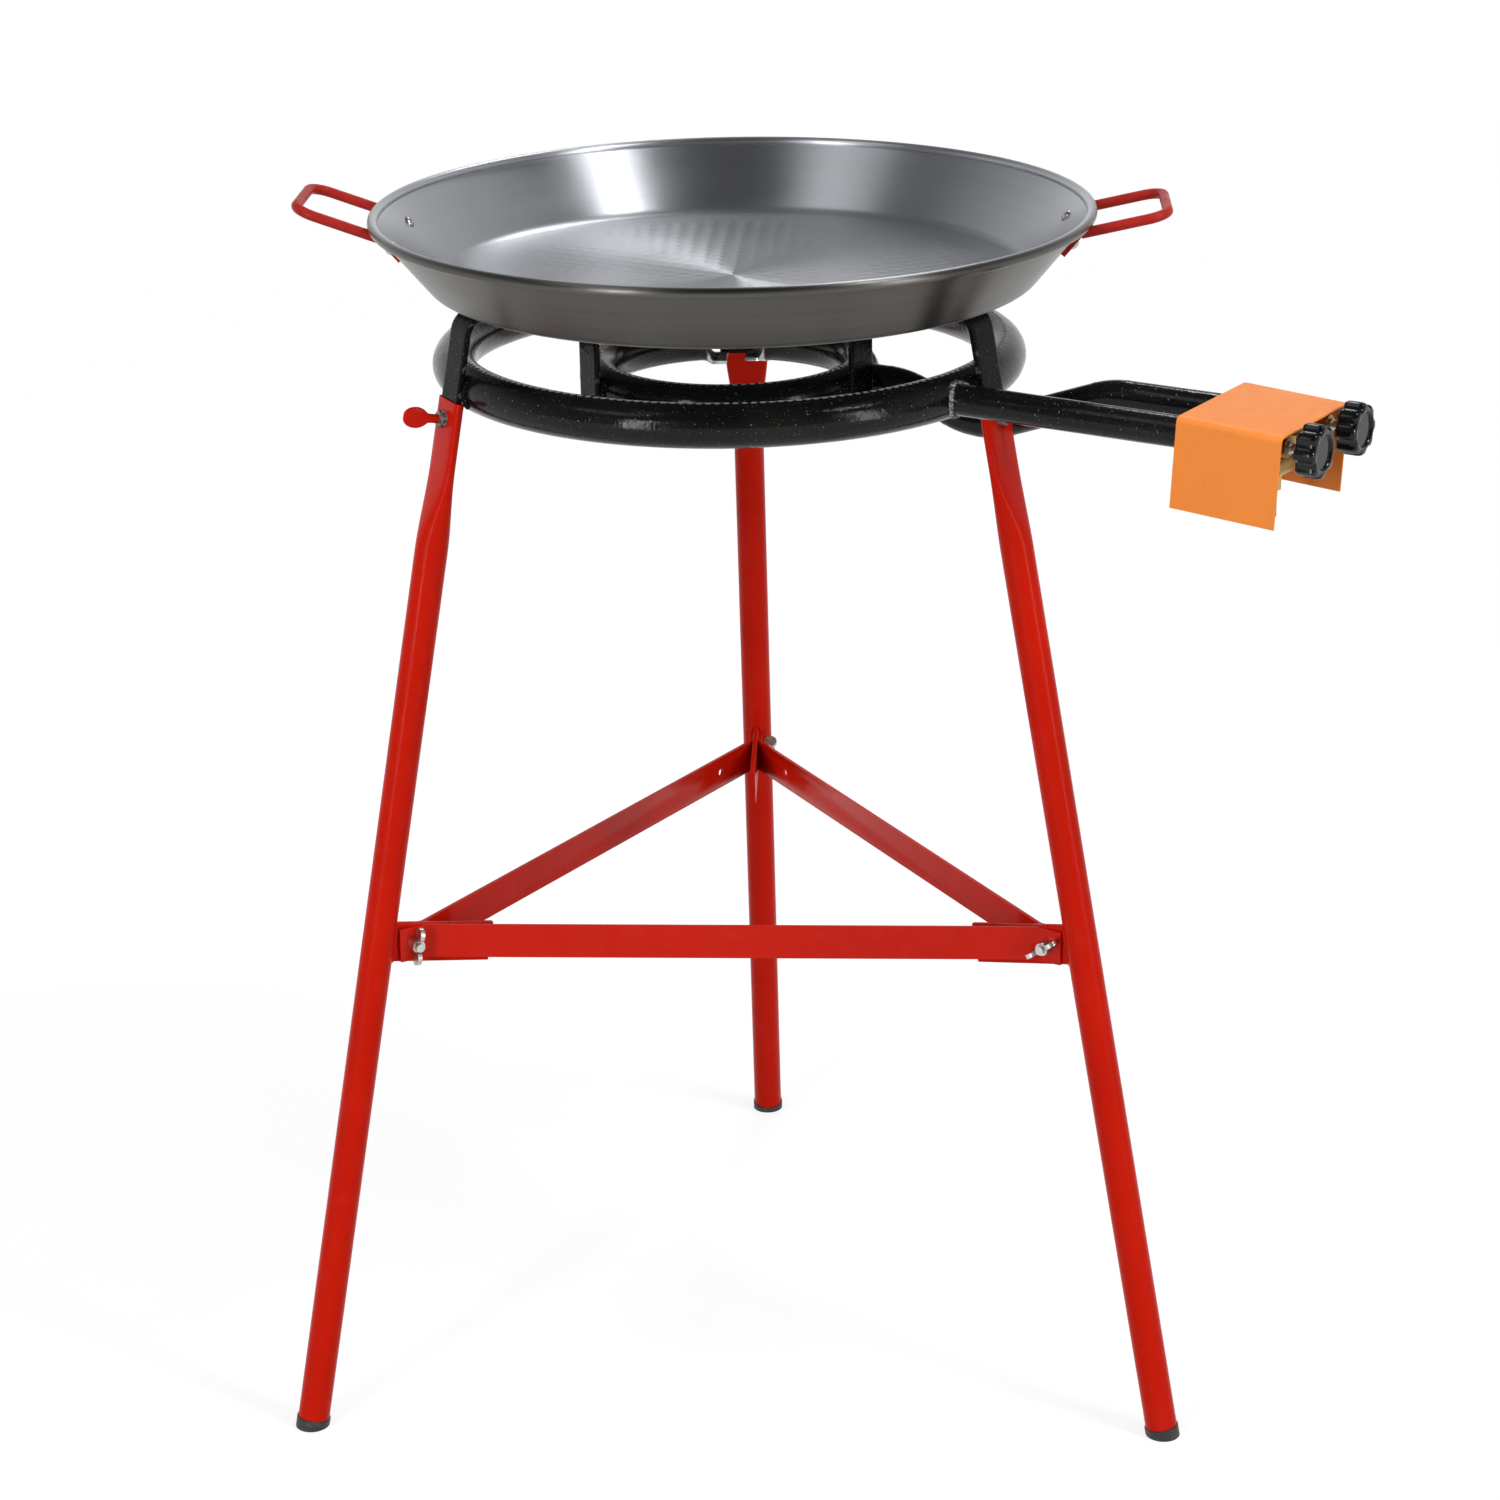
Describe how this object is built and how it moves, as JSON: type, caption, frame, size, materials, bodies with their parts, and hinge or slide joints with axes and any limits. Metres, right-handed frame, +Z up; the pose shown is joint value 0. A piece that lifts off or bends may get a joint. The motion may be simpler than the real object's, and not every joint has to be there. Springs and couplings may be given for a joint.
{
  "type": "paella burner",
  "caption": "Gas paella burner: concentric flame rings on a braced tube tripod, with pan rests, a covered tap box with knobs, and a wide loop-handled pan that lifts off.",
  "frame": {"origin": "on the floor, under the middle of the overall box", "axes": "+Z up, -Y towards the viewer of the picture, the gas arm runs out towards +X and -Y"},
  "size_m": [0.724, 0.6222, 0.8405],
  "materials": {
    "pan_steel": "polished carbon steel, turned",
    "red_paint": "gloss red paint",
    "black_enamel": "gloss black enamel with pale flecks",
    "orange_paint": "satin orange paint",
    "knob_plastic": "gloss black",
    "zinc": "bright zinc plate",
    "brass": "turned brass",
    "cap_plastic": "dark grey plastic"
  },
  "bodies": {
    "stand": {"outer_ring": "black_enamel", "inner_ring": "black_enamel", "support_rear": "black_enamel", "support_left": "black_enamel", "support_right": "black_enamel", "outer_feed_pipe": "black_enamel", "inner_feed_pipe": "black_enamel", "control_cover": "orange_paint", "gas_manifold": "brass", "hose_inlet": "brass", "outer_tap_body": "brass", "inner_tap_body": "brass", "outer_injector": "brass", "inner_injector": "brass", "leg_rear": "red_paint", "leg_left": "red_paint", "leg_right": "red_paint", "foot_cap_rear": "cap_plastic", "foot_cap_left": "cap_plastic", "foot_cap_right": "cap_plastic", "screw_bosses": "zinc", "brace_strap_front": "red_paint", "brace_strap_left": "red_paint", "brace_strap_right": "red_paint", "brace_bolts": "zinc"},
    "pan": {"pan_bowl": "pan_steel", "pan_handle_left": "red_paint", "pan_handle_right": "red_paint", "pan_rivets": "zinc"},
    "outer_control": {"outer_tap_stem": "zinc", "outer_knob": "knob_plastic"},
    "inner_control": {"inner_tap_stem": "zinc", "inner_knob": "knob_plastic"},
    "thumb_rear": {"thumb_screw_rear": "red_paint"},
    "nut_rear": {"wing_nut_rear": "zinc"},
    "thumb_left": {"thumb_screw_left": "red_paint"},
    "nut_left": {"wing_nut_left": "zinc"},
    "thumb_right": {"thumb_screw_right": "red_paint"},
    "nut_right": {"wing_nut_right": "zinc"}
  },
  "joints": [
    {"name": "pan_lift", "type": "slide", "parent": "stand", "child": "pan", "axis": [0, 0, 1], "range_m": [0, 0.15]},
    {"name": "outer_knob_turn", "type": "hinge", "parent": "stand", "child": "outer_control", "pos_m": [0.31136, -0.2894, 0.729], "axis": [0.866, -0.5, 0], "range_deg": [0, 270]},
    {"name": "inner_knob_turn", "type": "hinge", "parent": "stand", "child": "inner_control", "pos_m": [0.34136, -0.23743, 0.729], "axis": [0.866, -0.5, 0], "range_deg": [0, 270]},
    {"name": "thumb_screw_rear_turn", "type": "hinge", "parent": "stand", "child": "thumb_rear", "pos_m": [-0.0521, 0.1707, 0.71324], "axis": [0, 0.9816, 0.1908], "range_deg": [0, 450]},
    {"name": "thumb_screw_left_turn", "type": "hinge", "parent": "stand", "child": "thumb_left", "pos_m": [-0.23882, -0.15272, 0.71324], "axis": [-0.8501, -0.4908, 0.1908], "range_deg": [0, 450]},
    {"name": "thumb_screw_right_turn", "type": "hinge", "parent": "stand", "child": "thumb_right", "pos_m": [0.13463, -0.15272, 0.71324], "axis": [0.8501, -0.4908, 0.1908], "range_deg": [0, 450]},
    {"name": "wing_nut_rear_turn", "type": "hinge", "parent": "stand", "child": "nut_rear", "pos_m": [-0.0441, 0.20514, 0.35], "axis": [1, 0, 0], "range_deg": [0, 450]},
    {"name": "wing_nut_left_turn", "type": "hinge", "parent": "stand", "child": "nut_left", "pos_m": [-0.26465, -0.17687, 0.35], "axis": [0.5, -0.866, 0], "range_deg": [0, 450]},
    {"name": "wing_nut_right_turn", "type": "hinge", "parent": "stand", "child": "nut_right", "pos_m": [0.16045, -0.17687, 0.35], "axis": [-0.5, -0.866, 0], "range_deg": [0, 450]}
  ]
}
